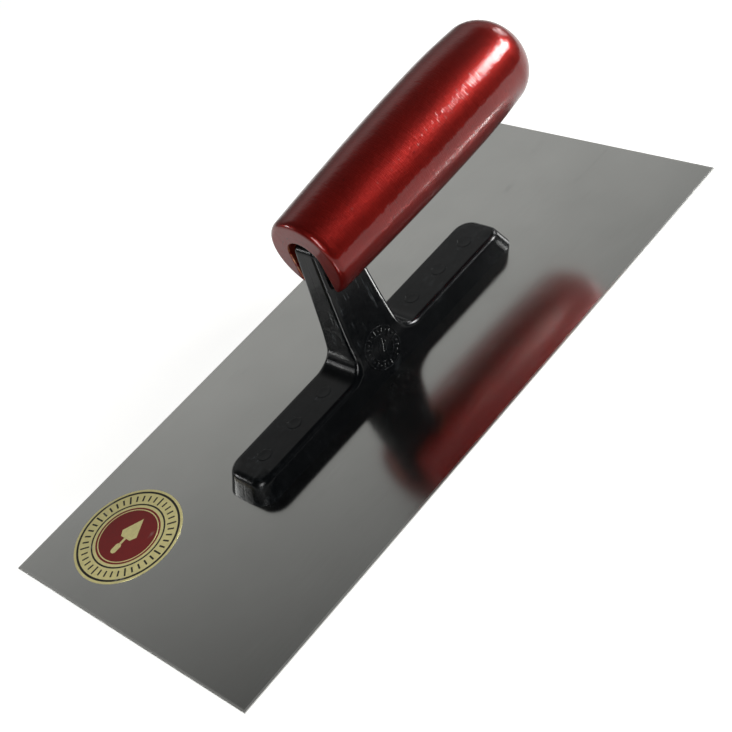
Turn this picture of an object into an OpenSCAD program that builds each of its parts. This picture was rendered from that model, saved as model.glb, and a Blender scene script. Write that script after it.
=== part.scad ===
// Steel finishing trowel: a thin flat blade, a moulded bracket riveted to its
// top, and a turned wooden handle driven onto the bracket's tang.
// Millimetres. The origin is the centre of the blade's underside. +X runs along
// the blade towards the handle's closed end, +Y across it, +Z up.

/* [Blade] */
// Length of the blade along X
blade_l = 280; // [220:5:400]
// Width of the blade along Y
blade_w = 130; // [110:1:180]
// Thickness of the spring steel sheet
blade_t = 0.7; // [0.5:0.1:1.2]

/* [Foot bar] */
// Length of the bar along X, measured on its top face
bar_l = 145; // [130:1:200]
// Width of the bar along Y, measured on its top face
bar_w = 20.5; // [15:0.5:30]
// How far the bar's middle lies behind the blade's centre
bar_shift = 1.5; // [0:0.5:4]
// Height of the bar above the blade
bar_h = 9; // [7.5:0.5:14]
// How far each end of the bar leans out at its base
bar_end_lean = 3.8; // [0:0.1:6]
// How far each side of the bar leans out at its base
bar_side_lean = 1.3; // [0:0.1:3]
// Radius of the bar's corners, seen from above
bar_corner_r = 7.5; // [2:0.5:9]
// Radius of the rounded edge round the bar's top face
bar_edge_r = 2.2; // [0.5:0.1:2.5]

/* [Post] */
// Length of the post along X at the top of its fillets
post_foot_l = 24.6; // [20:0.2:34]
// Length of the post along X at the handle's axis
post_top_l = 17.8; // [14:0.2:24]
// How far the front of the post stands ahead of the handle's front face at its foot
post_foot_lead = 4.3; // [0:0.1:8]
// Thickness of the post along Y at its foot
post_foot_t = 16.5; // [12:0.5:18]
// Thickness of the post along Y at the top of its fillets
post_mid_t = 15; // [10:0.5:16]
// Thickness of the post along Y at its top
post_top_t = 11; // [7:0.1:12]
// Radius of the fillets between the post and the bar
post_fillet_r = 8; // [3:0.5:12]
// Radius of the rounded top of the elbow
elbow_r = 3; // [1:0.5:4]
// Plastic above the tang where it leaves the elbow
elbow_cover = 0.3; // [0.2:0.1:1.5]

/* [Handle] */
// Length of the handle along its axis
handle_l = 124.5; // [110:0.5:150]
// Height of the handle's axis at its front face, above the blade's underside
handle_h = 60.2; // [52:0.2:80]
// Angle at which the handle rises towards its closed end
handle_tilt = 3; // [0:0.5:8]
// Distance from the blade's centre forward to the handle's front face
handle_front = 7.2; // [0:0.2:30]
// Diameter of the flat front face
face_d = 30; // [27:0.5:34]
// Diameter of the handle just behind its rounded front edge
neck_d = 34.4; // [31:0.2:38]
// Diameter of the handle at its widest
belly_d = 39.2; // [36:0.2:44]
// Diameter of the handle where its rounded end begins
heel_d = 37; // [34:0.2:42]
// Distance from the front face to the widest place
belly_at = 84; // [60:1:95]
// Length of the rounded front edge
rim_l = 3; // [1:0.5:5]
// Length of the rounded closed end
dome_l = 15.5; // [10:0.5:20]

/* [Handle socket] */
// Gap between the top corners of the post and the round hole that holds them
slot_gap = 0.36; // [0.2:0.02:4]
// Gap behind the post in the handle's slot
slot_end_gap = 5; // [2:0.2:6]

/* [Tang] */
// Diameter of the tang that the handle is driven onto
tang_d = 7.4; // [7:0.2:8]
// Length of the tang from the handle's front face
tang_l = 96; // [60:1:100]
// Thickness of the adhesive round the tang
glue_t = 0.3; // [0.2:0.05:0.6]
// Depth of the bore past the tang's end
bore_spare = 2; // [1:0.5:5]

/* [Neck core] */
// Width of the steel strip moulded inside the post and tang
core_w = 4.6; // [4:0.2:5]
// Thickness of the strip
core_t = 2.6; // [2:0.2:3]
// Gap between the strip and the moulding
core_gap = 0.02; // [0.01:0.01:0.1]
// Plastic left between the strip's ends and the outside
core_cover = 5; // [3:0.5:10]

/* [Rivets] */
// Rivets on each side of the post
rivets_a_side = 3; // [1:1:3]
// Distance from the foot of the post's fillet to the nearest rivet
rivet_post_gap = 5.9; // [4:0.1:8]
// Distance from the end of the bar's top face to the last rivet
rivet_end_inset = 12; // [8:0.5:16]
// Diameter of the rivet's shank
rivet_d = 3.2; // [2.4:0.2:4]
// Diameter of the flush head under the blade
rivet_head_d = 5.4; // [4.6:0.2:7]
// Height of the flush head
rivet_head_h = 0.5; // [0.3:0.05:0.5]
// Height of the closing head above the washer
rivet_set_h = 1.4; // [0.8:0.1:2]
// Gap between the rivet and its holes
rivet_gap = 0.05; // [0.02:0.01:0.2]
// Thickness of the washer under the closing head
washer_t = 0.6; // [0.4:0.1:1]
// Diameter of the well above each rivet, which the plug closes
well_d = 6; // [5.4:0.2:8]
// Plastic between the blade and the washer
well_floor = 3; // [2:0.5:4]
// Thickness of the plug that closes the well
plug_t = 1.8; // [1:0.2:2.4]
// How far the plug sits below the bar's top face
plug_sink = 0.15; // [0:0.05:0.4]
// Gap round the washer and the plug in the well
well_gap = 0.05; // [0.02:0.01:0.2]

/* [Label] */
// Diameter of the round label
label_d = 44; // [20:1:46]
// Thickness of the label
label_t = 0.12; // [0.1:0.02:0.3]
// Distance from the label's centre to the blade's front end
label_inset_x = 32; // [25:1:40]
// Distance from the label's centre to the blade's far edge
label_inset_y = 32; // [25:1:40]

/* [Hidden] */

$fn = 64;
HULL_FN = 32;
ROUND_STEPS = 3;
PROFILE_STEPS = 12;
FILLET_STEPS = 8;
FAR = 200;
SKIM = 0.05;

bar_z = blade_t;
bar_top = blade_t + bar_h;
face_x = -handle_front;
post_front_foot = face_x - post_foot_lead;
post_rear_foot = post_front_foot + post_foot_l;
post_rear_top = face_x + post_top_l;
fillet_top = bar_top + post_fillet_r;
elbow_top = handle_h + tang_d / 2 + post_top_l * sin(handle_tilt) + elbow_cover;
slot_w = 2 * (norm([post_top_t / 2, elbow_top - handle_h]) + slot_gap);
slot_l = post_top_l + slot_end_gap;
core_x = (post_front_foot + post_rear_foot + face_x + post_rear_top) / 4;
core_low = bar_z + core_cover;
core_axis_z = handle_h + (core_x - face_x) * tan(handle_tilt);
core_end = face_x + tang_l - core_cover;
well_low = bar_z + well_floor;
plug_low = bar_top - plug_sink - plug_t;
washer_top = well_low + washer_t;
rivet_set_d = (rivet_d + well_d) / 2;
rivet_set_top = min(washer_top + rivet_set_h, plug_low - 2 * well_gap);
bore_d = tang_d + 2 * glue_t;
rivet_first = max(bar_shift - post_front_foot, post_rear_foot - bar_shift) + post_fillet_r + rivet_post_gap;
rivet_last = bar_l / 2 - rivet_end_inset;
rivet_pitch = (rivet_last - rivet_first) / max(1, rivets_a_side - 1);
rivet_x = [for (side = [-1, 1], i = [0:rivets_a_side - 1]) bar_shift + side * (rivet_last - i * rivet_pitch)];

// Moves a shape drawn along +Z onto the handle's axis, starting at its front face
module on_handle_axis() {
    translate([face_x, 0, handle_h])
        rotate([0, 90 - handle_tilt, 0])
            children();
}

// Points along an arc, from angle a0 to angle a1
function arc_points(centre, r, a0, a1) =
    [for (i = [0:FILLET_STEPS]) let (a = a0 + (a1 - a0) * i / FILLET_STEPS)
        centre + r * [cos(a), sin(a)]];

// The corners of a rectangle with round corners, centred, for a hull
module round_rect(l, w, r) {
    for (x = [-1, 1], y = [-1, 1])
        translate([x * (l / 2 - r), y * (w / 2 - r)])
            circle(r = r, $fn = HULL_FN);
}

module at_rivets() {
    for (x = rivet_x)
        translate([x, 0, 0])
            children();
}

// ---- blade ----
module blade() {
    color("lightgray")
        difference() {
            translate([-blade_l / 2, -blade_w / 2, 0])
                cube([blade_l, blade_w, blade_t]);
            at_rivets()
                rivet_hole();
        }
}

// The flush head's seat and the shank's hole, as one cutter
module rivet_hole() {
    translate([0, 0, -SKIM])
        cylinder(d = rivet_head_d + 2 * rivet_gap, h = rivet_head_h + rivet_gap + SKIM);
    cylinder(d = rivet_d + 2 * rivet_gap, h = bar_top);
}

// ---- bracket ----
// One thin level of the bar, drawn in by inset from the outline of its top face
module bar_level(z, grow_l, grow_w) {
    translate([bar_shift, 0, z])
        linear_extrude(SKIM)
            round_rect(bar_l + 2 * grow_l, bar_w + 2 * grow_w, bar_corner_r + min(grow_l, grow_w));
}

// The bar leans out to its base, and its top edge is a quarter round in small steps
module foot_bar() {
    hull() {
        bar_level(bar_z, bar_end_lean, bar_side_lean);
        for (i = [0:ROUND_STEPS])
            let (a = 90 * i / ROUND_STEPS, drawn_in = bar_edge_r * (1 - cos(a)))
                bar_level(bar_top - bar_edge_r + bar_edge_r * sin(a) - SKIM, -drawn_in, -drawn_in);
    }
}

// The post seen from the side, with its fillets and the rounded top of its elbow
module post_side() {
    polygon(concat(
        [[post_front_foot - post_fillet_r, bar_z + 1]],
        arc_points([post_front_foot - post_fillet_r, fillet_top], post_fillet_r, -90, 0),
        arc_points([face_x + elbow_r, elbow_top - elbow_r], elbow_r, 180, 90),
        [[post_rear_top, elbow_top]],
        arc_points([post_rear_foot + post_fillet_r, fillet_top], post_fillet_r, 180, 270),
        [[post_rear_foot + post_fillet_r, bar_z + 1]]
    ));
}

// The post seen from the front, thinner towards its top
module post_front() {
    right = [[post_foot_t / 2, bar_z], [post_mid_t / 2, fillet_top], [post_top_t / 2, elbow_top + 1]];
    left = [for (i = [2:-1:0]) [-right[i][0], right[i][1]]];
    polygon(concat(right, left));
}

module post() {
    intersection() {
        translate([0, FAR / 2, 0])
            rotate([90, 0, 0])
                linear_extrude(FAR)
                    post_side();
        translate([-FAR / 2, 0, 0])
            rotate([90, 0, 90])
                linear_extrude(FAR)
                    post_front();
    }
}

module tang() {
    on_handle_axis()
        translate([0, 0, post_top_l / 2])
            cylinder(d = tang_d, h = tang_l - post_top_l / 2);
}

module bracket() {
    color("#17181a")
        difference() {
            union() {
                foot_bar();
                post();
                tang();
            }
            core_strip(core_gap);
            at_rivets() {
                rivet_hole();
                translate([0, 0, well_low])
                    cylinder(d = well_d, h = bar_top);
            }
        }
}

// ---- neck core ----
// Height at which the strip's underside meets its upright's rear edge
function inner_corner_z(half) =
    core_axis_z - half * cos(handle_tilt) + half * (1 - sin(handle_tilt)) * tan(handle_tilt);

// A stamped strip that stands in the post, turns, and follows the handle's axis.
// grow is added all round, for the space that it fills in the moulding.
module core_strip(grow) {
    half = core_w / 2 + grow;
    along = [cos(handle_tilt), sin(handle_tilt)];
    up = [-along[1], along[0]];
    turn = [core_x, core_axis_z];
    run = (core_end + grow - core_x) / along[0];
    translate([0, core_t / 2 + grow, 0])
        rotate([90, 0, 0])
            linear_extrude(core_t + 2 * grow)
                polygon(concat(
                    [[core_x - half, core_low - grow], [core_x + half, core_low - grow]],
                    [[core_x + half, inner_corner_z(half)]],
                    [turn + run * along - half * up, turn + run * along + half * up],
                    arc_points(turn, half, 90 + handle_tilt, 180)
                ));
}

module neck_core() {
    color("silver")
        core_strip(0);
}

// ---- rivets, washers and plugs ----
module blade_rivets() {
    color("gainsboro")
        at_rivets() {
            cylinder(d = rivet_head_d, h = rivet_head_h);
            cylinder(d = rivet_d, h = rivet_set_top);
            translate([0, 0, washer_top])
                cylinder(d = rivet_set_d, h = rivet_set_top - washer_top);
        }
}

module rivet_washers() {
    color("silver")
        at_rivets()
            translate([0, 0, well_low])
                difference() {
                    cylinder(d = well_d - 2 * well_gap, h = washer_t);
                    translate([0, 0, -1])
                        cylinder(d = rivet_d + 2 * rivet_gap, h = washer_t + 2);
                }
}

module rivet_plugs() {
    color("#1d1e20")
        at_rivets()
            translate([0, 0, plug_low])
                cylinder(d = well_d - 2 * well_gap, h = plug_t);
}

// ---- handle ----
// Radius of the handle at distance s behind the end of its rounded front edge
function body_r(s) =
    s < belly_at
        ? neck_d / 2 + (belly_d - neck_d) / 2 * sin(90 * (s - rim_l) / (belly_at - rim_l))
        : belly_d / 2 - (belly_d - heel_d) / 2 * pow((s - belly_at) / (handle_l - dome_l - belly_at), 2);

// Half of the handle's outline: flat face, rounded front edge, body, rounded end
module handle_outline() {
    face_r = face_d / 2;
    rim = [for (i = [0:PROFILE_STEPS]) let (a = 90 * i / PROFILE_STEPS)
        [face_r + (neck_d / 2 - face_r) * sin(a), rim_l * (1 - cos(a))]];
    front = [for (i = [1:PROFILE_STEPS]) let (s = rim_l + (belly_at - rim_l) * i / PROFILE_STEPS)
        [body_r(s), s]];
    rear = [for (i = [1:PROFILE_STEPS]) let (s = belly_at + (handle_l - dome_l - belly_at) * i / PROFILE_STEPS)
        [body_r(s), s]];
    dome = [for (i = [1:PROFILE_STEPS]) let (a = 90 * i / PROFILE_STEPS)
        [heel_d / 2 * cos(a), handle_l - dome_l + dome_l * sin(a)]];
    polygon(concat([[0, 0]], rim, front, rear, dome));
}

// The pocket for the post: from the front a round hole that is open downwards,
// and from below a slot with a round end
module post_slot() {
    round_x = slot_l - slot_w / 2;
    intersection() {
        translate([0, 0, -1])
            union() {
                cylinder(d = slot_w, h = slot_l + 1);
                translate([0, -slot_w / 2, 0])
                    cube([FAR, slot_w, slot_l + 1]);
            }
        translate([-FAR / 2, 0, 0])
            union() {
                translate([0, -slot_w / 2 - 1, -2])
                    cube([2 * FAR, slot_w + 2, round_x + 2]);
                translate([0, 0, round_x])
                    rotate([0, 90, 0])
                        cylinder(d = slot_w, h = 2 * FAR);
            }
    }
}

module handle() {
    color("#8f1414")
        on_handle_axis()
            difference() {
                rotate_extrude()
                    handle_outline();
                post_slot();
                cylinder(d = bore_d, h = tang_l + bore_spare);
            }
}

module tang_adhesive() {
    color("#d8cfa8")
        on_handle_axis()
            difference() {
                translate([0, 0, slot_l])
                    cylinder(d = bore_d, h = tang_l + bore_spare - slot_l);
                translate([0, 0, slot_l - 1])
                    cylinder(d = tang_d, h = tang_l - slot_l + 1);
            }
}

// ---- label ----
module label() {
    color("#c9a94e")
        translate([label_inset_x - blade_l / 2, blade_w / 2 - label_inset_y, blade_t])
            cylinder(d = label_d, h = label_t);
}

blade();
bracket();
neck_core();
blade_rivets();
rivet_washers();
rivet_plugs();
handle();
tang_adhesive();
label();
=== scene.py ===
"""The looks of a steel finishing trowel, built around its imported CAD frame.

Lengths are in millimetres until a finished mesh is scaled to metres. X runs along the blade
towards the handle's closed end, Y across it, and Z up from the blade's underside.
"""
import math

import bmesh
import bpy
from mathutils import Matrix, Quaternion, Vector


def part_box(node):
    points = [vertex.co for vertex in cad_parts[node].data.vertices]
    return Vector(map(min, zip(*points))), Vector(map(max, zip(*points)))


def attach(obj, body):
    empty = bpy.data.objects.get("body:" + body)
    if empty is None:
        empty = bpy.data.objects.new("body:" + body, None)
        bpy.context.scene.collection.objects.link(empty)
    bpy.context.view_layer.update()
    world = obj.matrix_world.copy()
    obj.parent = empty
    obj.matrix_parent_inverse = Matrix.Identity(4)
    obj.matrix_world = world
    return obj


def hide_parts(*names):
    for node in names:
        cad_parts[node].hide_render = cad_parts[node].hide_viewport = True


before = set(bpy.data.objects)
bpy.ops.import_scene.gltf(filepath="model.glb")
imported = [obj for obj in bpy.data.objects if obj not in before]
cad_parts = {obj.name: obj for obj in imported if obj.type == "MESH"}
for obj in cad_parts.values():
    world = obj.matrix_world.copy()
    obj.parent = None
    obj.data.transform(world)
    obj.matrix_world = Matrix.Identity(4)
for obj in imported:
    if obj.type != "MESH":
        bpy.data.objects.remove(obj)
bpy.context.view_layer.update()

MM = 0.001
SHARP_FROM = 38.0


def node_box_mm(node):
    """Lowest and highest corner of a CAD node, in millimetres."""
    low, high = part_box(node)
    return low / MM, high / MM


BLADE_HIGH = node_box_mm("blade")[1]
BRACKET_LOW, BRACKET_HIGH = node_box_mm("bracket")
LABEL_LOW, LABEL_HIGH = node_box_mm("label")

# Ground edge of the blade, and the paler band that grinding leaves on the sheet beside it
GROUND_CHAMFER = 0.16
GROUND_BAND_START = 1.1
GROUND_BAND_FULL = 0.6

# Foot bar
BAR_BASE = BLADE_HIGH.z
BAR_TOP = BAR_BASE + 9.0
BAR_END_LEAN = 3.8
BAR_SIDE_LEAN = 1.3
BAR_MIDDLE = 1.5
BAR_HALF = BAR_MIDDLE - BRACKET_LOW.x - BAR_END_LEAN
BAR_HALF_W = BRACKET_HIGH.y - BAR_SIDE_LEAN
BAR_CORNER_R = 6.5
EDGE_R = 2.0
FLANK_INSET = 0.25
SCUFFS_START = 60.0
SCUFFS_FULL = 74.0

# Handle's axis and outline
HANDLE_FRONT = Vector((-7.2, 0.0, 60.2))
HANDLE_TILT = 3.0
HANDLE_L = 124.5
FACE_R = 15.0
NECK_R = 17.2
BELLY_R = 19.6
HEEL_R = 18.5
BELLY_AT = 84.0
RIM_L = 3.0
DOME_L = 15.5

# Slot in the handle's front
SLOT_HALF_W = 7.75
SLOT_END = 22.8
LIP_R = 0.6
SLOT_R = SLOT_HALF_W + LIP_R
# Where the slot's lip is painted a pale bare-wood colour: partly lacquer worn through, partly a
# painted highlight along the lip
PALE_LIP_BESIDE = 0.5
PALE_LIP_TOP_START = 8.0
PALE_LIP_TOP_END = 8.8

# Faint ring that the lathe's chuck left on the handle's front face
CHUCK_RING_R = 10.5
CHUCK_RING_HALF_W = 0.1
CHUCK_RING_FADE = 0.3
CHUCK_RING_DEPTH = 0.2
CHUCK_RING_END = 0.4

# The lacquer lies smooth on the rim, and has its full texture some way behind it
SMOOTH_TO = 1.0
TEXTURE_FROM = 8.0

# Post and elbow
POST_FRONT_FOOT = -11.5
POST_REAR_FOOT = 13.1
POST_REAR_TOP = 10.6
FILLET_R = 8.0
ELBOW_TOP = 65.1
ELBOW_R = 3.0
POST_MID_HALF = 7.5
POST_TOP_HALF = 5.55
FOOT_SWEEP = 7
POST_MARKS_START = 14.0
POST_MARKS_FULL = 24.0
TANG_R = 3.7
TANG_START = 8.0
TANG_L = 96.0

# Rivets
RIVET_X = [BAR_MIDDLE + side * x for side in (-1, 1) for x in (26.9, 43.7, 60.5)]
WELL_R = 3.0
WELL_DEPTH = 2.0
WELL_CHAMFER = 0.02
WELL_SIDES = 32
WELL_FIELD_HALF = 4.3
PLUG_SINK = 0.01
PLUG_R = 2.97
PLUG_L = 1.7

# Parting line of the mould, shallower along the bar's top
SEAM_HALF_W = 0.2
SEAM_DEPTH = 0.03
SEAM_TOP_DEPTH = SEAM_DEPTH / 4

# Mould maker's wheel on the flank: each ring's share of the radius and its width
WHEEL_X = 0.5
WHEEL_Z = 12.2
WHEEL_R = 8.5
WHEEL_RINGS = ((1.0, 0.38), (0.62, 0.3), (0.2, 0.3))
WHEEL_ROOT = -0.15
WHEEL_RELIEF = 0.3
WHEEL_STROKES = 12
WHEEL_ARROW_TURN = 62


# ---- helpers ----
def piece(name, bm, material, slot, *replaced, sharp_from=SHARP_FROM):
    """A finished bmesh in millimetres becomes a piece that rides on the trowel."""
    bmesh.ops.remove_doubles(bm, verts=bm.verts, dist=0.0005)
    bmesh.ops.delete(bm, geom=[e for e in bm.edges if not e.link_faces], context="EDGES")
    bmesh.ops.recalc_face_normals(bm, faces=bm.faces)
    bmesh.ops.scale(bm, vec=(MM, MM, MM), verts=bm.verts)
    mesh = bpy.data.meshes.new(name)
    bm.to_mesh(mesh)
    bm.free()
    mesh.materials.append(material)
    mesh.shade_smooth()
    mesh.set_sharp_from_angle(angle=math.radians(sharp_from))
    obj = bpy.data.objects.new(name, mesh)
    bpy.context.scene.collection.objects.link(obj)
    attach(obj, "root")
    if replaced:
        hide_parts(*replaced)
    return obj


def slice_mesh(bm, axis, places):
    """Cuts the mesh by planes across one axis, so that it has vertices at each place."""
    for place in places:
        point = Vector((0, 0, 0))
        point[axis] = place
        normal = Vector((0, 0, 0))
        normal[axis] = 1
        bmesh.ops.bisect_plane(bm, geom=bm.verts[:] + bm.edges[:] + bm.faces[:],
                               dist=0.01, plane_co=point, plane_no=normal)


def spread(low, high, step):
    """Even places from low to high, about a step apart, without the two ends."""
    count = max(2, round((high - low) / step))
    return [low + (high - low) * i / count for i in range(1, count)]


def arc(x, z, r, start, end, steps):
    """Points on an arc in the XZ plane, angles in degrees."""
    angles = [math.radians(start + (end - start) * i / steps) for i in range(steps + 1)]
    return [(x + r * math.cos(a), z + r * math.sin(a)) for a in angles]


def along_handle():
    """Turns a shape drawn with its axis on +X from the origin into the handle's place."""
    return Matrix.Translation(HANDLE_FRONT) @ Matrix.Rotation(math.radians(-HANDLE_TILT), 4, "Y")


# ---- shader building ----
class Shader:
    """A material's or group's node tree, with short calls to add and join nodes."""

    def __init__(self, tree):
        self.tree = tree
        self.nodes = tree.nodes
        self.links = tree.links

    def add(self, kind, **settings):
        node = self.nodes.new(kind)
        for key, value in settings.items():
            setattr(node, key, value)
        return node

    def put(self, socket, value):
        if isinstance(value, bpy.types.NodeSocket):
            self.links.new(value, socket)
        else:
            socket.default_value = value

    def math(self, operation, a, b=0.0):
        node = self.add("ShaderNodeMath", operation=operation)
        self.put(node.inputs[0], a)
        self.put(node.inputs[1], b)
        return node.outputs[0]

    def span(self, value, low, high, to_low=0.0, to_high=1.0):
        node = self.add("ShaderNodeMapRange")
        ends = {"Value": value, "From Min": low, "From Max": high, "To Min": to_low, "To Max": to_high}
        for name, end in ends.items():
            self.put(node.inputs[name], end)
        return node.outputs["Result"]

    def noise(self, vector, scale, detail=4.0, roughness=0.55):
        node = self.add("ShaderNodeTexNoise")
        self.put(node.inputs["Vector"], vector)
        self.put(node.inputs["Scale"], scale)
        self.put(node.inputs["Detail"], detail)
        self.put(node.inputs["Roughness"], roughness)
        return node.outputs["Fac"]

    def mix(self, factor, a, b):
        node = self.add("ShaderNodeMix", data_type="RGBA")
        self.put(node.inputs["Factor"], factor)
        self.put(node.inputs["A"], a)
        self.put(node.inputs["B"], b)
        return node.outputs["Result"]

    def mapped(self, vector, location=(0, 0, 0), rotation=(0, 0, 0), scale=(1, 1, 1)):
        node = self.add("ShaderNodeMapping", vector_type="POINT")
        self.put(node.inputs["Vector"], vector)
        node.inputs["Location"].default_value = location
        node.inputs["Rotation"].default_value = rotation
        node.inputs["Scale"].default_value = scale
        return node.outputs["Vector"]

    def place(self):
        return self.add("ShaderNodeTexCoord").outputs["Object"]

    def bump(self, height, distance, strength=1.0, normal=None):
        node = self.add("ShaderNodeBump")
        self.put(node.inputs["Height"], height)
        node.inputs["Distance"].default_value = distance
        node.inputs["Strength"].default_value = strength
        if normal is not None:
            self.put(node.inputs["Normal"], normal)
        return node.outputs["Normal"]

    def group(self, tree, **values):
        node = self.add("ShaderNodeGroup")
        node.node_tree = tree
        for name, value in values.items():
            self.put(node.inputs[name.replace("_", " ").title()], value)
        return node.outputs[0]


def new_material(name):
    """A material with one Principled shader, and the shader's own node."""
    material = bpy.data.materials.new(name)
    material.use_nodes = True
    sh = Shader(material.node_tree)
    sh.nodes.clear()
    surface = sh.add("ShaderNodeBsdfPrincipled")
    output = sh.add("ShaderNodeOutputMaterial")
    sh.links.new(surface.outputs["BSDF"], output.inputs["Surface"])
    return material, sh, surface.inputs


def new_group(name, inputs, output):
    """An empty node group. inputs is a list of (name, kind, value)."""
    tree = bpy.data.node_groups.new(name, "ShaderNodeTree")
    for label, kind, value in inputs:
        socket = tree.interface.new_socket(name=label, in_out="INPUT", socket_type=kind)
        if value is not None:
            socket.default_value = value
    tree.interface.new_socket(name=output, in_out="OUTPUT", socket_type="NodeSocketFloat")
    sh = Shader(tree)
    return tree, sh, sh.add("NodeGroupInput").outputs, sh.add("NodeGroupOutput").inputs[0]


def hairline_group():
    """Long fine lines: noise drawn out along the axis in which Stretch is small."""
    tree, sh, given, out = new_group("hairlines", [
        ("Vector", "NodeSocketVector", None),
        ("Stretch", "NodeSocketVector", (1.0, 1.0, 1.0)),
        ("Scale", "NodeSocketFloat", 1000.0),
    ], "Lines")
    drawn = sh.add("ShaderNodeVectorMath", operation="MULTIPLY")
    sh.put(drawn.inputs[0], given["Vector"])
    sh.put(drawn.inputs[1], given["Stretch"])
    sh.put(out, sh.noise(drawn.outputs[0], given["Scale"], 6.0, 0.65))
    return tree


def scratch_group():
    """Sparse scratches: hairlines kept only where a second noise is high."""
    tree, sh, given, out = new_group("scratches", [
        ("Vector", "NodeSocketVector", None),
        ("Stretch", "NodeSocketVector", (1.0, 1.0, 1.0)),
        ("Scale", "NodeSocketFloat", 600.0),
        ("Amount", "NodeSocketFloat", 0.4),
    ], "Mask")
    drawn = sh.add("ShaderNodeVectorMath", operation="MULTIPLY")
    sh.put(drawn.inputs[0], given["Vector"])
    sh.put(drawn.inputs[1], given["Stretch"])
    lines = sh.span(sh.noise(drawn.outputs[0], given["Scale"], 2.0, 0.4), 0.58, 0.68)
    where = sh.noise(given["Vector"], sh.math("MULTIPLY", given["Scale"], 0.12), 3.0)
    open_part = sh.math("SUBTRACT", where, sh.span(given["Amount"], 0.0, 1.0, 0.7, 0.3))
    sh.put(out, sh.math("MULTIPLY", lines, sh.span(open_part, 0.0, 0.12)))
    return tree


def edge_wear_group():
    """Pale edges: the mesh's own sharp outer curves, broken up by noise; worn edges, and on the
    handle's slot lip also a painted highlight.
    """
    tree, sh, given, out = new_group("edge_wear_and_highlight", [
        ("Vector", "NodeSocketVector", None),
        ("Scale", "NodeSocketFloat", 300.0),
        ("Start", "NodeSocketFloat", 0.53),
    ], "Mask")
    curve = sh.add("ShaderNodeNewGeometry").outputs["Pointiness"]
    edge = sh.span(sh.math("SUBTRACT", curve, given["Start"]), 0.0, 0.08)
    broken = sh.span(sh.noise(given["Vector"], given["Scale"], 5.0, 0.7), 0.42, 0.62)
    sh.put(out, sh.math("MULTIPLY", edge, broken))
    return tree


def speck_group():
    """Small separate specks, as of dust or tiny pits."""
    tree, sh, given, out = new_group("specks", [
        ("Vector", "NodeSocketVector", None),
        ("Scale", "NodeSocketFloat", 1500.0),
        ("Amount", "NodeSocketFloat", 0.3),
    ], "Mask")
    fine = sh.noise(given["Vector"], given["Scale"], 1.0, 0.3)
    least = sh.span(given["Amount"], 0.0, 1.0, 0.8, 0.5)
    sh.put(out, sh.span(sh.math("SUBTRACT", fine, least), 0.0, 0.03))
    return tree


HAIRLINES = hairline_group()
SCRATCHES = scratch_group()
EDGE_WEAR_AND_HIGHLIGHT = edge_wear_group()
SPECKS = speck_group()


# ---- materials ----
def blade_steel():
    """Cold rolled spring steel, polished until it mirrors softly, with its edges ground."""
    material, sh, shader = new_material("blade_steel")
    here = sh.place()
    rolled = sh.group(HAIRLINES, vector=here, stretch=(0.035, 1.0, 1.0), scale=2600.0)
    clouds = sh.noise(here, 26.0, 3.0)
    scratches = sh.group(SCRATCHES, vector=here, stretch=(0.05, 1.0, 1.0), scale=420.0,
                         amount=0.35)
    axes = sh.add("ShaderNodeSeparateXYZ")
    sh.put(axes.inputs[0], here)
    past_end = sh.math("SUBTRACT", sh.math("ABSOLUTE", axes.outputs["X"]), BLADE_HIGH.x * MM)
    past_side = sh.math("SUBTRACT", sh.math("ABSOLUTE", axes.outputs["Y"]), BLADE_HIGH.y * MM)
    past_edge = sh.math("MAXIMUM", past_end, past_side)
    ground = sh.span(past_edge, -GROUND_BAND_START * MM, -GROUND_BAND_FULL * MM)
    steel = sh.mix(rolled, (0.50, 0.505, 0.49, 1), (0.60, 0.605, 0.59, 1))
    steel = sh.mix(sh.span(clouds, 0.3, 0.7, 0.0, 0.35), steel, (0.47, 0.475, 0.46, 1))
    sh.put(shader["Base Color"], sh.mix(ground, steel, (0.72, 0.72, 0.70, 1)))
    shader["Metallic"].default_value = 1.0
    gloss = sh.span(rolled, 0.3, 0.7, 0.115, 0.15)
    gloss = sh.math("ADD", gloss, sh.math("MULTIPLY", scratches, 0.08))
    gloss = sh.math("ADD", gloss, sh.span(clouds, 0.3, 0.7, 0.0, 0.03))
    sh.put(shader["Roughness"], sh.math("ADD", gloss, sh.math("MULTIPLY", ground, 0.2)))
    sh.put(shader["Normal"], sh.bump(sh.math("SUBTRACT", rolled, scratches), 0.000004, 0.6))
    return material


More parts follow.
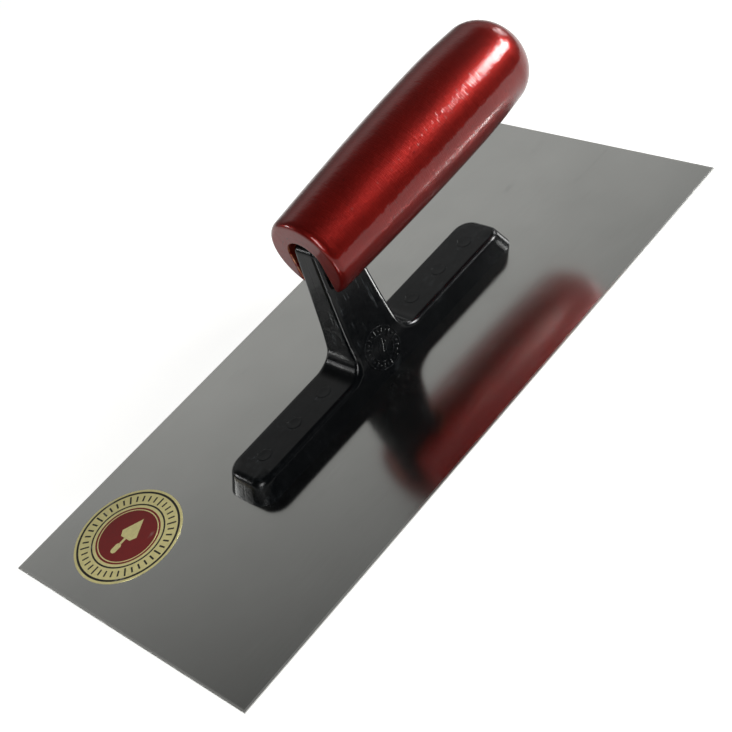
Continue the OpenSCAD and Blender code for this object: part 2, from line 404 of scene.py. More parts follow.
def bracket_nylon():
    """Glossy black glass-filled nylon with scuffs, scratches and paler rubbed edges."""
    material, sh, shader = new_material("bracket_nylon")
    here = sh.place()
    along_post = sh.group(SCRATCHES, vector=here, stretch=(1.0, 1.0, 0.07), scale=700.0,
                          amount=0.55)
    across = sh.group(SCRATCHES, vector=here, stretch=(0.3, 1.0, 1.0), scale=330.0, amount=0.15)
    wear_and_highlight = sh.group(EDGE_WEAR_AND_HIGHLIGHT, vector=here, scale=420.0, start=0.53)
    grain = sh.noise(here, 900.0, 4.0)
    waves = sh.noise(here, 95.0, 2.0)
    specks = sh.group(SPECKS, vector=here, scale=1300.0, amount=0.12)
    axes = sh.add("ShaderNodeSeparateXYZ")
    sh.put(axes.inputs[0], here)
    on_post = sh.span(axes.outputs["Z"], POST_MARKS_START * MM, POST_MARKS_FULL * MM, 0.12, 1.0)
    from_middle = sh.math("ABSOLUTE", axes.outputs["X"])
    at_ends = sh.span(from_middle, SCUFFS_START * MM, SCUFFS_FULL * MM)
    scuffs = sh.math("MULTIPLY", at_ends, sh.span(sh.noise(here, 330.0, 5.0, 0.7), 0.52, 0.62))
    marks = sh.math("MAXIMUM", sh.math("MULTIPLY", along_post, on_post), across)
    marks = sh.math("MAXIMUM", marks, sh.math("MULTIPLY", scuffs, 0.4))
    deep = (0.0010, 0.0014, 0.0019, 1)
    black = sh.mix(sh.span(waves, 0.35, 0.65), deep, (0.0022, 0.0027, 0.0033, 1))
    black = sh.mix(sh.math("MULTIPLY", marks, 0.7), black, (0.035, 0.040, 0.043, 1))
    black = sh.mix(sh.math("MULTIPLY", wear_and_highlight, 0.3), black, (0.05, 0.055, 0.06, 1))
    black = sh.mix(sh.math("MULTIPLY", specks, 0.2), black, (0.06, 0.06, 0.055, 1))
    sh.put(shader["Base Color"], black)
    gloss = sh.span(grain, 0.3, 0.7, 0.17, 0.25)
    gloss = sh.math("ADD", gloss, sh.math("MULTIPLY", marks, 0.1))
    sh.put(shader["Roughness"], sh.math("ADD", gloss, sh.math("MULTIPLY", wear_and_highlight, 0.1)))
    shader["Specular IOR Level"].default_value = 0.30
    fine = sh.math("SUBTRACT", sh.math("MULTIPLY", grain, 0.3), marks)
    relief = sh.math("ADD", sh.math("MULTIPLY", fine, 0.03), waves)
    sh.put(shader["Normal"], sh.bump(relief, 0.0003, 0.25))
    return material


def handle_lacquer():
    """Turned wood under a translucent deep red lacquer that shines as if over metal."""
    material, sh, shader = new_material("handle_lacquer")
    here = sh.mapped(sh.place(), location=tuple(-HANDLE_FRONT * MM))
    here = sh.mapped(here, rotation=(0, math.radians(HANDLE_TILT), 0))
    turned = sh.group(HAIRLINES, vector=here, stretch=(1.0, 0.10, 0.10), scale=2400.0)
    depth = sh.noise(here, 55.0, 4.0, 0.6)
    pits = sh.group(SPECKS, vector=here, scale=900.0, amount=0.3)
    # The slot's lip is painted a pale bare-wood colour: partly worn lacquer, partly a painted
    # highlight along the lip
    wear_and_highlight = sh.group(EDGE_WEAR_AND_HIGHLIGHT, vector=here, scale=500.0, start=0.50)
    axes = sh.add("ShaderNodeSeparateXYZ")
    sh.put(axes.inputs[0], here)
    aside = sh.math("ABSOLUTE", axes.outputs["Y"])
    beside_slot = sh.span(aside, SLOT_R * MM, (SLOT_R + PALE_LIP_BESIDE) * MM, 1.0, 0.0)
    below_top = sh.span(axes.outputs["Z"], PALE_LIP_TOP_START * MM, PALE_LIP_TOP_END * MM, 1.0, 0.0)
    wear_and_highlight = sh.math("MULTIPLY", wear_and_highlight, sh.math("MULTIPLY", beside_slot, below_top))
    from_axis = sh.add("ShaderNodeVectorMath", operation="LENGTH")
    sh.put(from_axis.inputs[0], sh.mapped(here, scale=(0.0, 1.0, 1.0)))
    off_ring = sh.math("SUBTRACT", from_axis.outputs["Value"], CHUCK_RING_R * MM)
    off_ring = sh.math("ABSOLUTE", off_ring)
    on_ring = sh.span(off_ring, CHUCK_RING_HALF_W * MM, CHUCK_RING_FADE * MM, 1.0, 0.0)
    on_face = sh.span(axes.outputs["X"], CHUCK_RING_DEPTH * MM, CHUCK_RING_END * MM, 1.0, 0.0)
    ring_mark = sh.math("MULTIPLY", on_ring, on_face)
    ring_mark = sh.math("MULTIPLY", ring_mark, sh.span(sh.noise(here, 420.0, 3.0), 0.45, 0.6))
    deep = (0.145, 0.0036, 0.0020, 1)
    red = sh.mix(sh.span(depth, 0.3, 0.7), deep, (0.205, 0.0051, 0.0029, 1))
    red = sh.mix(sh.span(turned, 0.35, 0.75, 0.0, 0.3), red, (0.29, 0.011, 0.0055, 1))
    red = sh.mix(sh.math("MULTIPLY", ring_mark, 0.9), red, (0.02, 0.002, 0.001, 1))
    red = sh.mix(sh.math("MULTIPLY", pits, 0.5), red, (0.09, 0.005, 0.004, 1))
    # Pale lip colour: worn lacquer and a painted highlight
    red = sh.mix(sh.math("MULTIPLY", wear_and_highlight, 0.8), red, (0.75, 0.42, 0.18, 1))
    sh.put(shader["Base Color"], red)
    shader["Metallic"].default_value = 0.7
    shader["Specular IOR Level"].default_value = 0.2
    sh.put(shader["Roughness"], sh.span(turned, 0.3, 0.7, 0.33, 0.46))
    sh.put(shader["Normal"], sh.bump(turned, 0.00012, 0.8))
    shader["Coat Weight"].default_value = 1.0
    shader["Coat Roughness"].default_value = 0.09
    shader["Coat IOR"].default_value = 1.42
    drawn = sh.mapped(here, scale=(1.0, 0.15, 0.15))
    skin = sh.math("ADD", sh.noise(drawn, 1800.0, 1.0, 0.5), sh.noise(here, 300.0, 2.0))
    behind_rim = sh.span(axes.outputs["X"], SMOOTH_TO * MM, TEXTURE_FROM * MM, 0.15, 1.0)
    skin = sh.math("MULTIPLY", skin, behind_rim)
    sh.put(shader["Coat Normal"], sh.bump(skin, 0.0001, 1.0))
    return material


def plain_steel(name, shade, gloss):
    """Stamped or turned steel with fine marks."""
    material, sh, shader = new_material(name)
    here = sh.place()
    marks = sh.noise(here, 1800.0, 5.0, 0.7)
    cloud = sh.noise(here, 320.0, 3.0)
    dark = (shade * 0.8, shade * 0.8, shade * 0.78, 1)
    light = (shade, shade, shade * 0.98, 1)
    sh.put(shader["Base Color"], sh.mix(sh.span(cloud, 0.3, 0.7), dark, light))
    shader["Metallic"].default_value = 1.0
    sh.put(shader["Roughness"], sh.span(marks, 0.3, 0.7, gloss, gloss + 0.14))
    sh.put(shader["Normal"], sh.bump(marks, 0.00001, 0.6))
    return material


def cured_adhesive():
    """Amber adhesive with small bubbles."""
    material, sh, shader = new_material("adhesive")
    here = sh.place()
    bubbles = sh.group(SPECKS, vector=here, scale=1800.0, amount=0.5)
    cloud = sh.noise(here, 240.0, 4.0)
    amber = sh.mix(cloud, (0.55, 0.42, 0.2, 1), (0.72, 0.62, 0.38, 1))
    sh.put(shader["Base Color"], sh.mix(bubbles, amber, (0.85, 0.8, 0.62, 1)))
    sh.put(shader["Roughness"], sh.span(cloud, 0.3, 0.7, 0.35, 0.5))
    sh.put(shader["Normal"], sh.bump(bubbles, 0.00005, 0.5))
    return material


def printed_foil(name, colour, metal, gloss):
    """One printed colour of the foil label, with a slight mottle and rubbed spots."""
    material, sh, shader = new_material(name)
    here = sh.place()
    mottle = sh.noise(here, 700.0, 5.0, 0.65)
    rubbed = sh.group(SCRATCHES, vector=here, stretch=(0.3, 1.0, 1.0), scale=700.0, amount=0.3)
    deep = tuple(channel * 0.82 for channel in colour) + (1,)
    ink = sh.mix(sh.span(mottle, 0.3, 0.7), deep, colour + (1,))
    ink = sh.mix(sh.math("MULTIPLY", rubbed, 0.25), ink, (0.6, 0.58, 0.5, 1))
    sh.put(shader["Base Color"], ink)
    shader["Metallic"].default_value = metal
    sh.put(shader["Roughness"], sh.span(mottle, 0.3, 0.7, gloss, gloss + 0.12))
    sh.put(shader["Normal"], sh.bump(mottle, 0.00001, 0.4))
    return material


def pale_floor():
    """A plain pale sheet that glows evenly white to the eye, and half as much on the trowel."""
    material, sh, shader = new_material("pale_floor")
    here = sh.place()
    paper = sh.noise(here, 60.0, 5.0)
    sh.put(shader["Base Color"], sh.mix(paper, (0.50, 0.50, 0.49, 1), (0.54, 0.54, 0.53, 1)))
    white = sh.mix(paper, (0.97, 0.97, 0.96, 1), (1.0, 1.0, 0.99, 1))
    seen = sh.add("ShaderNodeLightPath").outputs["Is Camera Ray"]
    half = (0.50, 0.50, 0.49, 1)
    sh.put(shader["Emission Color"], sh.mix(seen, half, white))
    shader["Emission Strength"].default_value = 0.80
    shader["Roughness"].default_value = 0.9
    sh.put(shader["Normal"], sh.bump(paper, 0.0001, 0.2))
    return material


# ---- camera, light and floor ----
LIT_POINT = Vector((0.03, 0.0, 0.04))
FLOOR_R = 0.53
FLOOR_MIDDLE = Vector((0.0, 0.23, 0.0))


def make_camera():
    """The camera stands to the front left of the blade and leans to one side."""
    place = Vector((-0.2316, -0.3751, 0.3673))
    aim = Vector((-0.0025, 0.0021, 0.0007))
    lean = math.radians(-25.82)
    data = bpy.data.cameras.new("camera")
    data.lens = 73.65
    data.sensor_width = 36.0
    data.clip_start = 0.01
    camera = bpy.data.objects.new("camera", data)
    camera.rotation_mode = "QUATERNION"
    camera.location = place
    level = (aim - place).to_track_quat("-Z", "Y")
    camera.rotation_quaternion = level @ Quaternion((0, 0, 1), lean)
    bpy.context.scene.collection.objects.link(camera)
    bpy.context.scene.camera = camera


def softbox(name, azimuth, elevation, distance, width, height, power):
    """A rectangular lamp that faces the trowel, at an azimuth from +X and an elevation.

    Angles are in degrees, lengths in metres and power in watts.
    """
    data = bpy.data.lights.new(name, "AREA")
    data.shape = "RECTANGLE"
    data.size = width
    data.size_y = height
    data.energy = power
    turn = Matrix.Rotation(math.radians(azimuth), 3, "Z")
    tip = Matrix.Rotation(math.radians(-elevation), 3, "Y")
    towards = turn @ tip @ Vector((1, 0, 0))
    lamp = bpy.data.objects.new(name, data)
    lamp.location = LIT_POINT + towards * distance
    lamp.rotation_mode = "QUATERNION"
    lamp.rotation_quaternion = (-towards).to_track_quat("-Z", "Y")
    bpy.context.scene.collection.objects.link(lamp)


def studio():
    """A grey room that is lighter low on the far side and dark overhead, and pale behind."""
    world = bpy.data.worlds.new("studio")
    world.use_nodes = True
    bpy.context.scene.world = world
    bpy.context.scene.view_settings.view_transform = "Standard"
    sh = Shader(world.node_tree)
    sh.nodes.clear()
    way = sh.add("ShaderNodeTexCoord").outputs["Generated"]
    axes = sh.add("ShaderNodeSeparateXYZ")
    sh.put(axes.inputs[0], way)
    ahead = sh.add("ShaderNodeVectorMath", operation="DOT_PRODUCT")
    sh.put(ahead.inputs[0], way)
    ahead.inputs[1].default_value = (0.5, 0.866, 0.0)
    far_side = sh.span(ahead.outputs["Value"], 0.61, 0.79, 0.1, 1.0)
    near_side = sh.span(ahead.outputs["Value"], -0.1, 0.45)
    falling = sh.span(axes.outputs["Z"], 0.54, 0.98, 0.54, 0.14)
    rising = sh.span(axes.outputs["Z"], 0.25, 0.54, 0.25, 1.0)
    upright = sh.math("MULTIPLY", falling, rising)
    room = sh.math("MULTIPLY", upright, sh.math("MULTIPLY", far_side, near_side))
    room = sh.math("ADD", room, 0.03)
    seen = sh.add("ShaderNodeLightPath").outputs["Is Camera Ray"]
    tone = sh.add("ShaderNodeMix", data_type="FLOAT")
    sh.put(tone.inputs["Factor"], seen)
    sh.put(tone.inputs["A"], room)
    sh.put(tone.inputs["B"], 0.95)
    light = sh.add("ShaderNodeBackground")
    sh.put(light.inputs["Strength"], tone.outputs["Result"])
    light.inputs["Color"].default_value = (1.0, 1.0, 0.98, 1)
    output = sh.add("ShaderNodeOutputWorld")
    sh.links.new(light.outputs[0], output.inputs["Surface"])
    softbox("key_softbox", -34, 27, distance=0.7, width=0.23, height=0.18, power=5.0)
    softbox("left_softbox", 204, 24, distance=1.1, width=0.28, height=0.62, power=5.2)
    softbox("far_softbox", 129, 18, distance=1.2, width=0.16, height=0.12, power=1.2)
    softbox("back_softbox", 134, 15, distance=1.2, width=0.46, height=0.20, power=0.4)
    softbox("right_softbox", 4, 17, distance=1.1, width=0.30, height=0.24, power=1.6)


def make_floor():
    bm = bmesh.new()
    bmesh.ops.create_circle(bm, cap_ends=True, segments=96, radius=FLOOR_R,
                            matrix=Matrix.Translation(FLOOR_MIDDLE))
    mesh = bpy.data.meshes.new("floor")
    bm.to_mesh(mesh)
    bm.free()
    mesh.materials.append(pale_floor())
    floor = bpy.data.objects.new("floor", mesh)
    bpy.context.scene.collection.objects.link(floor)


# ---- blade ----
def make_blade(material):
    """The CAD sheet with its holes, and a fine ground chamfer round its outer edges."""
    bm = bmesh.new()
    bm.from_mesh(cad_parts["blade"].data)
    bmesh.ops.scale(bm, vec=(1 / MM, 1 / MM, 1 / MM), verts=bm.verts)
    bmesh.ops.remove_doubles(bm, verts=bm.verts, dist=0.001)
    bmesh.ops.dissolve_limit(bm, angle_limit=0.01, verts=bm.verts, edges=bm.edges)

    def on_rim(vert):
        return abs(vert.co.x) > BLADE_HIGH.x - 0.01 or abs(vert.co.y) > BLADE_HIGH.y - 0.01

    rim = [e for e in bm.edges if on_rim(e.verts[0]) and on_rim(e.verts[1])]
    bmesh.ops.bevel(bm, geom=rim, offset=GROUND_CHAMFER, offset_type="OFFSET", segments=2,
                    profile=0.5, affect="EDGES", clamp_overlap=True, material=-1)
    piece("blade_sheet", bm, material, "blade_steel", "blade", sharp_from=10)


# ---- bracket ----
def half_thickness(z):
    """Half of the bracket's thickness at a height: a leaning bar that runs up into a slim post."""
    if z <= BAR_TOP:
        return BAR_HALF_W + BAR_SIDE_LEAN * (BAR_TOP - z) / (BAR_TOP - BAR_BASE)
    over_bar = (z - BAR_TOP) / (ELBOW_TOP - BAR_TOP)
    slim = POST_MID_HALF - (POST_MID_HALF - POST_TOP_HALF) * over_bar
    return slim + (BAR_HALF_W - slim) * (1 - over_bar) ** FOOT_SWEEP


def bracket_outline():
    """Side view of the moulding, going round once."""
    base = BAR_HALF + BAR_END_LEAN
    points = [(BAR_MIDDLE - base, BAR_BASE), (BAR_MIDDLE + base, BAR_BASE)]
    points += [(BAR_MIDDLE + BAR_HALF, BAR_TOP)]
    points += arc(POST_REAR_FOOT + FILLET_R, BAR_TOP + FILLET_R, FILLET_R, 270, 180, 12)
    points += [(POST_REAR_TOP, ELBOW_TOP)]
    points += arc(HANDLE_FRONT.x + ELBOW_R, ELBOW_TOP - ELBOW_R, ELBOW_R, 90, 180, 8)
    points += arc(POST_FRONT_FOOT - FILLET_R, BAR_TOP + FILLET_R, FILLET_R, 0, -90, 12)
    points += [(BAR_MIDDLE - BAR_HALF, BAR_TOP)]
    return points


def bevel_edges(bm, edges, radius, segments):
    bmesh.ops.bevel(bm, geom=edges, offset=radius, offset_type="OFFSET", segments=segments,
                    profile=0.5, affect="EDGES", clamp_overlap=False, material=-1)


def sink_well(bm, x):
    """Sinks a round well into the square face of the bar's top at x."""
    centre = Vector((x, 0, BAR_TOP))

    def nearest_face():
        return min(bm.faces, key=lambda f: (f.calc_center_median() - centre).length)

    bmesh.ops.subdivide_edges(bm, edges=nearest_face().edges[:], cuts=WELL_SIDES // 4 - 1)
    floor = bmesh.ops.extrude_discrete_faces(bm, faces=[nearest_face()])["faces"][0]
    for v in floor.verts:
        turn = math.atan2(v.co.y, v.co.x - x)
        side = round(turn / (math.pi / 2)) * math.pi / 2
        even = side + math.tan(turn - side) * math.pi / 4
        v.co = centre + (WELL_R + WELL_CHAMFER) * Vector((math.cos(even), math.sin(even), 0))
    for shrink, drop in ((WELL_R / (WELL_R + WELL_CHAMFER), WELL_CHAMFER), (1.0, WELL_DEPTH)):
        floor = bmesh.ops.extrude_discrete_faces(bm, faces=[floor])["faces"][0]
        bmesh.ops.scale(bm, vec=(shrink, shrink, 1), verts=floor.verts[:],
                        space=Matrix.Translation(-centre))
        bmesh.ops.translate(bm, vec=(0, 0, -drop), verts=floor.verts[:])


def shape_flanks(bm):
    """Draws the flanks in to the moulding's thickness, and leaves their edge rounding as it is."""
    band = EDGE_R + 0.1
    for v in bm.verts:
        side, reach = math.copysign(1.0, v.co.y), abs(v.co.y)
        half = half_thickness(v.co.z)
        if reach > BAR_HALF_W - band:
            v.co.y = side * (reach - BAR_HALF_W + half)
        else:
            v.co.y = side * reach * (half - band) / (BAR_HALF_W - band)


def cut_parting_line(bm):
    """Sinks a hair-fine groove where the two halves of the mould met."""
    slice_mesh(bm, 1, [-2 * SEAM_HALF_W, -SEAM_HALF_W, 0.0, SEAM_HALF_W, 2 * SEAM_HALF_W])
    bm.normal_update()
    middle = [v for v in bm.verts if abs(v.co.y) < 0.01 and v.co.z > BAR_BASE + 0.2]

    def in_well(v):
        return v.co.z < BAR_TOP and min(abs(v.co.x - x) for x in RIVET_X) < WELL_R + SEAM_HALF_W

    sunk = {v: v.normal.copy() for v in middle if not in_well(v)}
    for v, normal in sunk.items():
        on_top = abs(v.co.z - BAR_TOP) < 0.01
        v.co -= normal * (SEAM_TOP_DEPTH if on_top else SEAM_DEPTH)


def make_bracket(material):
    bm = bmesh.new()
    outline = [bm.verts.new((x, -BAR_HALF_W, z)) for x, z in bracket_outline()]
    flank = bm.faces.new(outline)
    grown = bmesh.ops.extrude_face_region(bm, geom=[flank])["geom"]
    bmesh.ops.translate(bm, vec=(0, 2 * BAR_HALF_W, 0),
                        verts=[g for g in grown if isinstance(g, bmesh.types.BMVert)])
    bmesh.ops.recalc_face_normals(bm, faces=bm.faces)
    bar_h = BAR_TOP - BAR_BASE
    corners = [e for e in bm.edges if abs(e.verts[0].co.z - e.verts[1].co.z) > bar_h - 1
               and min(abs(v.co.x - BAR_MIDDLE) for v in e.verts) > BAR_HALF - 1]
    bevel_edges(bm, corners, BAR_CORNER_R, 8)
    fold = math.radians(50)
    rim = [e for e in bm.edges if min(v.co.z for v in e.verts) > BAR_TOP - 0.01
           and len(e.link_faces) == 2 and e.calc_face_angle() > fold]
    bevel_edges(bm, rim, EDGE_R, 5)
    flanks = sorted(bm.faces, key=lambda f: f.calc_area())[-3:]
    flanks = [f for f in flanks if abs(f.normal.y) > 0.9]
    bmesh.ops.inset_region(bm, faces=flanks, thickness=FLANK_INSET, use_even_offset=True)
    slice_mesh(bm, 0, [x + side * WELL_FIELD_HALF for x in RIVET_X for side in (-1, 1)])
    slice_mesh(bm, 1, [-WELL_FIELD_HALF, WELL_FIELD_HALF])
    for x in RIVET_X:
        sink_well(bm, x)
    held = BAR_HALF_W - EDGE_R - FLANK_INSET
    slice_mesh(bm, 1, [-held, held])
    slice_mesh(bm, 2, spread(BAR_BASE, BAR_TOP, 1.5) + spread(BAR_TOP, ELBOW_TOP, 1.6))
    slice_mesh(bm, 0, spread(BAR_MIDDLE - BAR_HALF, BAR_MIDDLE + BAR_HALF, 2.4))
    shape_flanks(bm)
    cut_parting_line(bm)
    lying = Matrix.Rotation(math.radians(90), 4, "Y")
    tang_middle = Matrix.Translation(((TANG_L + TANG_START) / 2, 0, 0))
    bmesh.ops.create_cone(bm, cap_ends=True, segments=40, radius1=TANG_R, radius2=TANG_R,
                          depth=TANG_L - TANG_START, matrix=along_handle() @ tang_middle @ lying)
    piece("bracket_moulding", bm, material, "bracket_nylon", "bracket")


def ring(bm, profile, centre, axis, steps=64):
    """Spins a closed profile of (radius, height) about an axis through the centre."""
    across = Vector((1, 0, 0))
    verts = [bm.verts.new(centre + across * r + axis * h) for r, h in profile]
    loop = [bm.edges.new(pair) for pair in zip(verts, verts[1:] + verts[:1])]
    bmesh.ops.spin(bm, geom=verts + loop, cent=centre, axis=axis, angle=math.tau, steps=steps,
                   use_merge=True)


def bar_shape(bm, length, width, height, matrix):
    """A plain low bar with its top face's edges rounded off."""
    size = Matrix.Diagonal((length, width, height, 1))
    made = bmesh.ops.create_cube(bm, size=1.0, matrix=matrix @ size)
    top = max({f for v in made["verts"] for f in v.link_faces},
              key=lambda f: (matrix.inverted() @ f.calc_center_median()).z)
    bevel_edges(bm, top.edges[:], min(width, height) * 0.3, 2)


def make_wheel(material):
    """The mould maker's wheel: three raised rings, strokes, dots and an arrow, no lettering."""
    bm = bmesh.new()
    centre = Vector((WHEEL_X, 0, WHEEL_Z))
    out = Vector((0, -1, 0))
    for share, width in WHEEL_RINGS:
        radius = WHEEL_R * share
        crest = [(radius - width * 0.7, WHEEL_RELIEF), (radius - width * 0.3, WHEEL_RELIEF)]
        ring(bm, [(radius - width, WHEEL_ROOT)] + crest + [(radius, WHEEL_ROOT)], centre, out)
    stand = Matrix.Translation(centre) @ Matrix.Rotation(math.radians(90), 4, "X")
    between_rings = Matrix.Translation((WHEEL_R * 0.79, 0, 0.1))
    step = math.tau / WHEEL_STROKES
    for number in range(WHEEL_STROKES):
        turn = stand @ Matrix.Rotation(step * number, 4, "Z")
        length = 1.9 if number % 3 else 2.4
        bar_shape(bm, length, 0.55, 0.4, turn @ between_rings)
        half_way = turn @ Matrix.Rotation(step / 2, 4, "Z")
        bar_shape(bm, 0.7, 0.7, 0.4, half_way @ between_rings)
    aim = stand @ Matrix.Rotation(math.radians(WHEEL_ARROW_TURN), 4, "Z")
    bar_shape(bm, 4.6, 0.6, 0.42, aim @ Matrix.Translation((0.7, 0, 0.1)))
    for side in (-1, 1):
        tip = Matrix.Translation((2.9, side * 0.75, 0.1))
        slant = Matrix.Rotation(math.radians(-side * 40), 4, "Z")
        bar_shape(bm, 2.2, 0.6, 0.38, aim @ tip @ slant)
    slice_mesh(bm, 2, spread(WHEEL_Z - WHEEL_R, WHEEL_Z + WHEEL_R, 0.8))
    for v in bm.verts:
        v.co.y -= half_thickness(v.co.z)
    piece("mould_wheel", bm, material, "bracket_nylon")


def make_plugs(material):
    """Six slightly dished plugs with rounded rims, sunk a little below the bar's top."""
    bm = bmesh.new()
    top = BAR_TOP - PLUG_SINK
    dish = [(0.0, top - 0.04), (1.4, top - 0.03), (2.4, top)]
    rim = [(PLUG_R - 0.12, top), (PLUG_R - 0.04, top - 0.02), (PLUG_R, top - 0.08)]
    outline = dish + rim + [(PLUG_R, top - PLUG_L), (0.0, top - PLUG_L)]
    for x in RIVET_X:
        ring(bm, outline, Vector((x, 0, 0)), Vector((0, 0, 1)), 40)
    piece("rivet_plug_caps", bm, material, "plug_nylon", "rivet_plugs")


# ---- label ----
LABEL_MIDDLE = (LABEL_LOW + LABEL_HIGH) / 2
LABEL_R = (LABEL_HIGH.x - LABEL_LOW.x) / 2
INK = 0.02
FOIL_TOP = LABEL_LOW.z + 0.07
PRINT_TOP = FOIL_TOP + INK
EMBOSS_TOP = PRINT_TOP + INK
BORDER = (LABEL_R * 0.915, LABEL_R * 0.955)
INNER_LINE = (LABEL_R * 0.655, LABEL_R * 0.685)
STROKES = 40
STROKES_AT = LABEL_R * 0.80
SHORT_STROKE = LABEL_R * 0.12
LONG_STROKE = LABEL_R * 0.17
RED_FIELD_R = LABEL_R * 0.60
GOLD_LINE = (LABEL_R * 0.545, LABEL_R * 0.565)


def printed(name, colour, metal, gloss):
    """An empty mesh for one printed colour, and its material."""
    return bmesh.new(), printed_foil(name, colour, metal, gloss)


def layer(bm, inner, outer, low, high):
    """A flat ring, or a disc where the inner radius is nothing."""
    centre = Vector((LABEL_MIDDLE.x, LABEL_MIDDLE.y, 0))
    edge = (high - low) * 0.4
    rounded = [(outer - edge, high), (outer, high - edge), (outer, low)]
    ring(bm, [(inner, low), (inner, high)] + rounded, centre, Vector((0, 0, 1)), 96)


def flat_bar(bm, x, y, length, width, turn, low, high, corner):
    """A flat rounded bar on the label, its place measured from the label's middle."""
    place = Matrix.Translation((LABEL_MIDDLE.x, LABEL_MIDDLE.y, (low + high) / 2))
    place = place @ Matrix.Translation((x, y, 0)) @ Matrix.Rotation(math.radians(turn), 4, "Z")
    size = Matrix.Diagonal((length, width, high - low, 1))
    made = bmesh.ops.create_cube(bm, size=1.0, matrix=place @ size)
    upright = [e for e in {e for v in made["verts"] for e in v.link_edges}
               if abs(e.verts[0].co.z - e.verts[1].co.z) > (high - low) / 2]
    bevel_edges(bm, upright, corner, 4)


def flat_shape(bm, points, low, high):
    """A flat shape on the label, given by its corners from the label's middle."""
    middle = Vector((LABEL_MIDDLE.x, LABEL_MIDDLE.y, low))
    face = bm.faces.new([bm.verts.new(middle + Vector((x, y, 0))) for x, y in points])
    grown = bmesh.ops.extrude_face_region(bm, geom=[face])["geom"]
    raised = [g for g in grown if isinstance(g, bmesh.types.BMVert)]
    bmesh.ops.translate(bm, vec=(0, 0, high - low), verts=raised)


def make_label():
    """A plain round trade sticker: gold foil, a dark border and a small trowel on a red field."""
    gold = (0.95, 0.86, 0.40)
    dark = (0.012, 0.011, 0.008)
    bm, foil = printed("label_gold", gold, 0.5, 0.3)
    layer(bm, 0.0, LABEL_R, LABEL_LOW.z, FOIL_TOP)
    piece("label_sheet", bm, foil, "label_foil", "label")

    bm, ink = printed("label_dark_ink", dark, 0.0, 0.35)
    low = FOIL_TOP - INK
    layer(bm, *BORDER, low, PRINT_TOP)
    layer(bm, *INNER_LINE, low, PRINT_TOP)
    for number in range(STROKES):
        turn = 360 * number / STROKES
        length = SHORT_STROKE if number % 5 else LONG_STROKE
        x = STROKES_AT * math.cos(math.radians(turn))
        y = STROKES_AT * math.sin(math.radians(turn))
        flat_bar(bm, x, y, length, 0.7, turn, low, PRINT_TOP, 0.2)
    piece("label_dark_print", bm, ink, "label_foil")

    bm, red = printed("label_red_ink", (0.20, 0.010, 0.009), 0.1, 0.3)
    layer(bm, 0.0, RED_FIELD_R, low, PRINT_TOP)
    piece("label_red_print", bm, red, "label_foil")

    bm = bmesh.new()
    low = PRINT_TOP - INK
    layer(bm, *GOLD_LINE, low, EMBOSS_TOP)
    small_blade = [(8.6, 0.0), (0.9, 4.2), (-1.4, 2.6), (-1.4, -2.6), (0.9, -4.2)]
    flat_shape(bm, small_blade, low, EMBOSS_TOP)
    flat_bar(bm, -2.75, 0.0, 2.6, 1.1, 0.0, low, EMBOSS_TOP, 0.1)
    flat_bar(bm, -6.5, 0.0, 4.8, 2.6, 0.0, low, EMBOSS_TOP, 1.2)
    piece("label_gold_print", bm, foil, "label_foil")


# ---- handle ----
SLOT_STRAIGHT = SLOT_END - SLOT_HALF_W
FACE_DROP = math.sqrt(FACE_R ** 2 - SLOT_R ** 2)
COLUMNS = 80
RIM_STEPS = 7
DOME_STEPS = 20


def handle_radius(s):
    """Radius of the handle at a distance behind its front face, past the rounded rim."""
    if s < BELLY_AT:
        rise = (s - RIM_L) / (BELLY_AT - RIM_L)
        return NECK_R + (BELLY_R - NECK_R) * math.sin(math.pi / 2 * rise)
    fall = (s - BELLY_AT) / (HANDLE_L - DOME_L - BELLY_AT)
    return BELLY_R - (BELLY_R - HEEL_R) * fall ** 2


def handle_outline():
    """Half of the outline, as distance and radius, from the hole in the face to the dome's tip."""
    rim_turns = [math.pi / 2 * i / RIM_STEPS for i in range(RIM_STEPS + 1)]
    rim = [(RIM_L * (1 - math.cos(a)), FACE_R + (NECK_R - FACE_R) * math.sin(a))
           for a in rim_turns]
    beside_slot = spread(RIM_L, SLOT_STRAIGHT, 2.0) + [SLOT_STRAIGHT]
    straight = rim + [(s, handle_radius(s)) for s in beside_slot]
    face = []
    for s, _ in reversed(straight):
        drop = FACE_DROP * (1 - s / SLOT_STRAIGHT)
        face.append((0.0, math.hypot(SLOT_R, drop)))
    end_turns = [math.tau / COLUMNS * (j + 0.5) for j in range(COLUMNS // 4)]
    slot_end = [SLOT_STRAIGHT + SLOT_R * math.sin(a) for a in end_turns]
    body_end = HANDLE_L - DOME_L
    body = slot_end + spread(SLOT_END + 1, body_end, 2.5) + [body_end]
    dome_turns = [math.pi / 2 * i / DOME_STEPS for i in range(1, DOME_STEPS + 1)]
    dome = [(body_end + DOME_L * math.sin(a), HEEL_R * math.cos(a)) for a in dome_turns]
    return face[:-1] + straight + [(s, handle_radius(s)) for s in body] + dome


def open_slot(bm):
    """Draws the columns over the slot to its edges, and takes away the faces between them."""
    for v in bm.verts:
        s, reach = v.co.x, math.hypot(v.co.y, v.co.z)
        past = s - SLOT_STRAIGHT
        if v.co.z > 0.001 or past > SLOT_R - 0.001:
            continue
        half = SLOT_R if past <= 0 else math.sqrt(SLOT_R ** 2 - past ** 2)
        if abs(v.co.y) < half:
            v.co.y = math.copysign(half, v.co.y)
            v.co.z = -math.sqrt(max(0.0, reach ** 2 - half ** 2))
    over = [f for f in bm.faces if max(v.co.x for v in f.verts) < SLOT_STRAIGHT + SLOT_R
            and max(v.co.z for v in f.verts) < 0.001
            and min(v.co.y for v in f.verts) < -0.01 and max(v.co.y for v in f.verts) > 0.01]
    bmesh.ops.delete(bm, geom=over, context="FACES")
    bmesh.ops.remove_doubles(bm, verts=bm.verts, dist=0.001)
    bmesh.ops.dissolve_degenerate(bm, dist=0.001, edges=bm.edges)


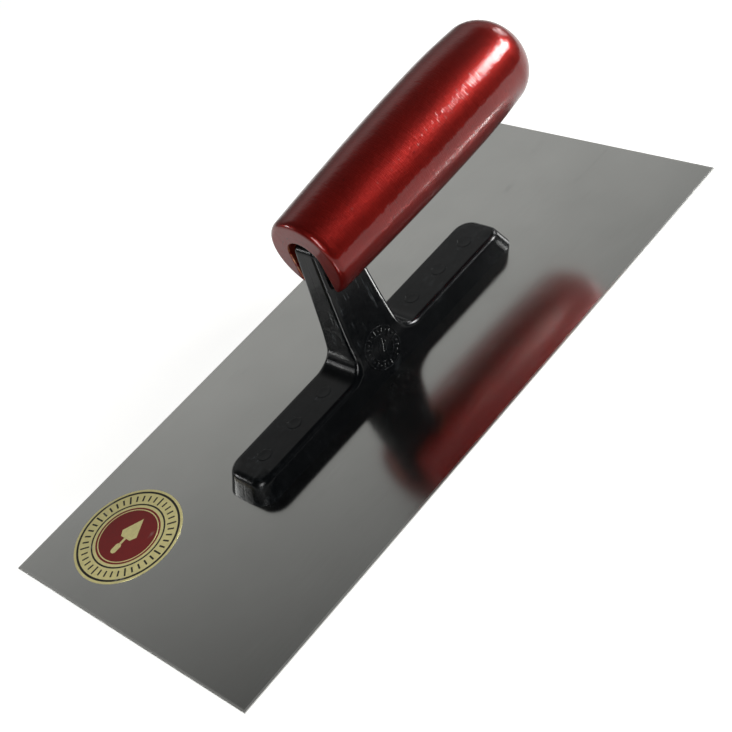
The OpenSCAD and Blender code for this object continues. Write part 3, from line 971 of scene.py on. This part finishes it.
def slot_edge(co):
    """For a point on the slot's edge: the way into the slot, and the inner corner behind it."""
    s, y, z = co
    side = math.copysign(1.0, y)
    if s < 0.001 and z > 0.001:
        turn = math.atan2(z, y)
        inward = Vector((0, -math.cos(turn), -math.sin(turn)))
        rise = SLOT_HALF_W * math.sin(turn)
        corner = (SLOT_STRAIGHT + rise, SLOT_HALF_W * math.cos(turn), rise)
    elif s > SLOT_STRAIGHT + 0.001:
        turn = math.asin(min(1.0, (s - SLOT_STRAIGHT) / SLOT_R))
        inward = Vector((-math.sin(turn), -side * math.cos(turn), 0))
        rise = SLOT_HALF_W * math.sin(turn)
        corner = (SLOT_STRAIGHT + rise, side * SLOT_HALF_W * math.cos(turn), rise)
    else:
        share = s / SLOT_STRAIGHT if s > 0.001 else 1 + z / FACE_DROP
        inward = Vector((0, -side, 0))
        corner = (SLOT_STRAIGHT * share, side * SLOT_HALF_W, -FACE_DROP * (1 - share))
    return inward, Vector(corner)


def line_slot(bm):
    """Rolls the slot's edge inwards and builds its walls, roof and end from that edge."""
    bm.normal_update()
    mark = bm.verts.layers.int.new("edge_place")
    rim = [e for e in bm.edges if e.is_boundary]
    starts = list({v for e in rim for v in e.verts})
    middle = Vector((HANDLE_L / 2, 0, 0))
    known = {}
    for number, v in enumerate(starts, 1):
        v[mark] = number
        outward = v.normal if v.normal.dot(v.co - middle) > 0 else -v.normal
        inward, corner = slot_edge(v.co)
        known[number] = (v.co.copy(), outward.copy(), inward, corner)
    for step in range(1, 5):
        grown = bmesh.ops.extrude_edge_only(bm, edges=rim)["geom"]
        rim = [g for g in grown if isinstance(g, bmesh.types.BMEdge)]
        turn = math.radians(30 * step)
        for v in (g for g in grown if isinstance(g, bmesh.types.BMVert)):
            start, outward, inward, corner = known[v[mark]]
            if step == 4:
                v.co = corner
            else:
                v.co = start + LIP_R * (math.sin(turn) * inward - (1 - math.cos(turn)) * outward)
    bmesh.ops.remove_doubles(bm, verts=bm.verts, dist=0.02)


def make_handle(material):
    bm = bmesh.new()
    half_column = math.pi / COLUMNS
    verts = [bm.verts.new((s, r * math.sin(half_column), -r * math.cos(half_column)))
             for s, r in handle_outline()]
    edges = [bm.edges.new(pair) for pair in zip(verts, verts[1:])]
    bmesh.ops.spin(bm, geom=verts + edges, cent=(0, 0, 0), axis=(1, 0, 0), angle=math.tau,
                   steps=COLUMNS, use_merge=True)
    bmesh.ops.remove_doubles(bm, verts=bm.verts, dist=0.001)
    open_slot(bm)
    line_slot(bm)
    bmesh.ops.transform(bm, matrix=along_handle(), verts=bm.verts)
    piece("handle_grip", bm, material, "handle_lacquer", "handle")


# ---- build ----
make_camera()
studio()
make_floor()
make_blade(blade_steel())
NYLON = bracket_nylon()
make_bracket(NYLON)
make_wheel(NYLON)
make_plugs(NYLON)
make_label()
make_handle(handle_lacquer())

for node, finish in (
    ("neck_core", plain_steel("core_steel", 0.5, 0.3)),
    ("blade_rivets", plain_steel("rivet_steel", 0.56, 0.2)),
    ("rivet_washers", plain_steel("washer_steel", 0.58, 0.25)),
    ("tang_adhesive", cured_adhesive()),
):
    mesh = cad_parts[node].data
    mesh.materials.clear()
    mesh.materials.append(finish)
